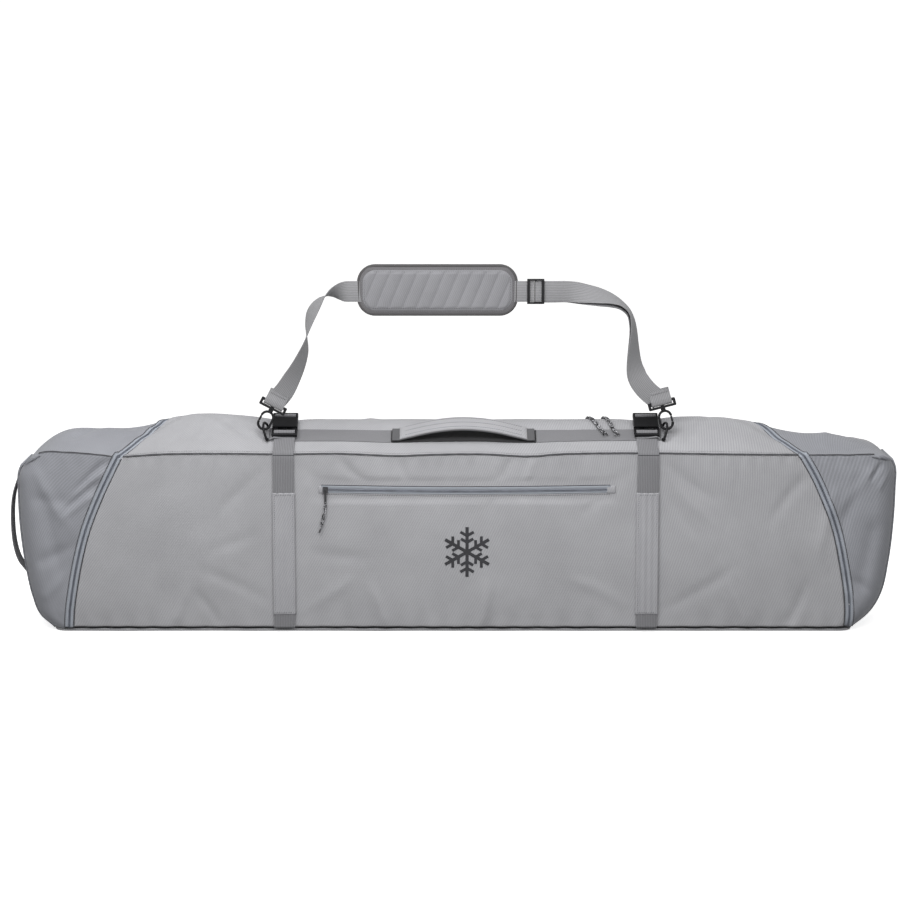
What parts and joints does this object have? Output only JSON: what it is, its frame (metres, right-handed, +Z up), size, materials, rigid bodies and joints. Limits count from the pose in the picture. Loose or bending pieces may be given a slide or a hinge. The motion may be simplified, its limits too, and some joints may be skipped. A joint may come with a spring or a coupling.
{
  "type": "snowboard bag",
  "caption": "Long padded snowboard bag with a zipped flap, compression straps, a carry handle and a removable padded shoulder strap.",
  "frame": {"origin": "middle of the underside of the bag, on the ground", "axes": "+Z up, +X to the right along the bag, +Y from the zipped front flap to the rear panel"},
  "size_m": [1.623, 0.201, 0.6683],
  "materials": {
    "shell_fabric": "matt woven twill",
    "webbing": "matt ribbed webbing",
    "zip_tape": "matt woven tape",
    "lining": "matt lining",
    "binding": "matt ribbed binding",
    "pad_fabric": "matt quilted",
    "black_plastic": "satin moulded",
    "slider_metal": "satin",
    "pull_cord": "braided"
  },
  "bodies": {
    "bag": {"rear_panel": "shell_fabric", "bottom_panel": "shell_fabric", "left_end_panel": "shell_fabric", "right_end_panel": "shell_fabric", "left_front_panel": "shell_fabric", "right_front_panel": "shell_fabric", "left_top_panel": "shell_fabric", "right_top_panel": "shell_fabric", "rear_top_panel": "shell_fabric", "main_zip_body_tape": "zip_tape", "rear_strap_left": "webbing", "rear_strap_right": "webbing", "end_handle": "webbing"},
    "flap": {"front_panel": "shell_fabric", "top_panel": "shell_fabric", "main_zip_flap_tape": "zip_tape", "seam_piping": "binding", "pocket_zip_upper_tape": "zip_tape", "pocket_zip_lower_tape": "zip_tape", "pocket_lining": "lining", "front_strap_left": "webbing", "front_strap_right": "webbing", "top_strap_left": "webbing", "top_strap_right": "webbing", "strap_sleeve_left": "shell_fabric", "strap_sleeve_right": "shell_fabric", "buckle_male_left": "black_plastic", "buckle_male_right": "black_plastic", "top_webbing_left": "webbing", "top_webbing_right": "webbing", "d_ring_left": "black_plastic", "d_ring_right": "black_plastic"},
    "buckle_left": {"buckle_female_left": "black_plastic"},
    "buckle_right": {"buckle_female_right": "black_plastic"},
    "carry_handle": {"handle_webbing": "webbing", "handle_grip": "shell_fabric"},
    "shoulder_strap": {"strap_webbing_left": "webbing", "strap_webbing_right": "webbing", "strap_loop_left": "black_plastic", "strap_loop_right": "black_plastic"},
    "hook_left": {"snap_hook_left": "black_plastic"},
    "hook_right": {"snap_hook_right": "black_plastic"},
    "gate_left": {"hook_gate_left": "black_plastic"},
    "gate_right": {"hook_gate_right": "black_plastic"},
    "adjuster": {"tri_glide": "black_plastic"},
    "shoulder_pad": {"shoulder_pad_back": "binding", "shoulder_pad_face": "pad_fabric"},
    "slider_left": {"main_slider_left": "slider_metal"},
    "slider_right": {"main_slider_right": "slider_metal"},
    "pull_left": {"main_cord_left_1": "pull_cord", "main_cord_left_2": "pull_cord", "main_knot_left": "pull_cord"},
    "pull_right": {"main_cord_right_1": "pull_cord", "main_cord_right_2": "pull_cord", "main_knot_right": "pull_cord"},
    "pocket_slider": {"pocket_slider": "slider_metal"},
    "pocket_pull": {"pocket_tab": "slider_metal", "pocket_cord_1": "pull_cord", "pocket_cord_2": "pull_cord", "pocket_knot": "pull_cord"}
  },
  "joints": [
    {"name": "flap_hinge", "type": "hinge", "parent": "bag", "child": "flap", "pos_m": [0, -0.0925, 0.007], "axis": [1, 0, 0], "range_deg": [0, 75]},
    {"name": "buckle_release_left", "type": "slide", "parent": "flap", "child": "buckle_left", "axis": [0, 0.8905, 0.4551], "range_m": [0, 0.032]},
    {"name": "buckle_release_right", "type": "slide", "parent": "flap", "child": "buckle_right", "axis": [0, 0.8905, 0.4551], "range_m": [0, 0.032]},
    {"name": "carry_handle_lift", "type": "hinge", "parent": "flap", "child": "carry_handle", "pos_m": [0, -0.06219, 0.3461], "axis": [1, 0, 0], "range_deg": [0, 55]},
    {"name": "shoulder_strap_swing", "type": "hinge", "parent": "flap", "child": "shoulder_strap", "pos_m": [0, -0.0544, 0.37705], "axis": [1, 0, 0], "range_deg": [-10, 55]},
    {"name": "hook_swivel_left", "type": "hinge", "parent": "shoulder_strap", "child": "hook_left", "pos_m": [-0.3402, -0.0544, 0.37705], "axis": [0.4617, 0, 0.887], "range_deg": [-8, 8]},
    {"name": "hook_swivel_right", "type": "hinge", "parent": "shoulder_strap", "child": "hook_right", "pos_m": [0.3957, -0.0544, 0.37705], "axis": [-0.2504, 0, 0.9681], "range_deg": [-8, 8]},
    {"name": "gate_left_opening", "type": "hinge", "parent": "hook_left", "child": "gate_left", "pos_m": [-0.34386, -0.0544, 0.39384], "axis": [0, -1, 0], "range_deg": [0, 22], "stiffness_Nm_per_rad": 0.01, "springref_deg": -5.73},
    {"name": "gate_right_opening", "type": "hinge", "parent": "hook_right", "child": "gate_right", "pos_m": [0.40304, -0.0544, 0.39258], "axis": [0, 1, 0], "range_deg": [0, 22], "stiffness_Nm_per_rad": 0.01, "springref_deg": -5.73},
    {"name": "adjuster_slide", "type": "slide", "parent": "shoulder_strap", "child": "adjuster", "axis": [1, 0, 0], "range_m": [0, 0.04]},
    {"name": "shoulder_pad_slide", "type": "slide", "parent": "shoulder_strap", "child": "shoulder_pad", "axis": [1, 0, 0], "range_m": [-0.03, 0.012]},
    {"name": "main_slider_left_travel", "type": "slide", "parent": "flap", "child": "slider_left", "axis": [1, 0, 0], "range_m": [-0.12, 0]},
    {"name": "main_slider_right_travel", "type": "slide", "parent": "flap", "child": "slider_right", "axis": [1, 0, 0], "range_m": [0, 0.024]},
    {"name": "main_pull_left_swing", "type": "hinge", "parent": "slider_left", "child": "pull_left", "pos_m": [0.255, 0.0449, 0.3704], "axis": [-1, 0, 0], "range_deg": [0, 110]},
    {"name": "main_pull_right_swing", "type": "hinge", "parent": "slider_right", "child": "pull_right", "pos_m": [0.283, 0.0449, 0.3704], "axis": [-1, 0, 0], "range_deg": [0, 110]},
    {"name": "pocket_slider_travel", "type": "slide", "parent": "flap", "child": "pocket_slider", "axis": [1, 0, 0], "range_m": [0, 0.5]},
    {"name": "pocket_pull_swing", "type": "hinge", "parent": "pocket_slider", "child": "pocket_pull", "pos_m": [-0.226, -0.10035, 0.265], "axis": [-1, 0, 0], "range_deg": [0, 95]}
  ]
}
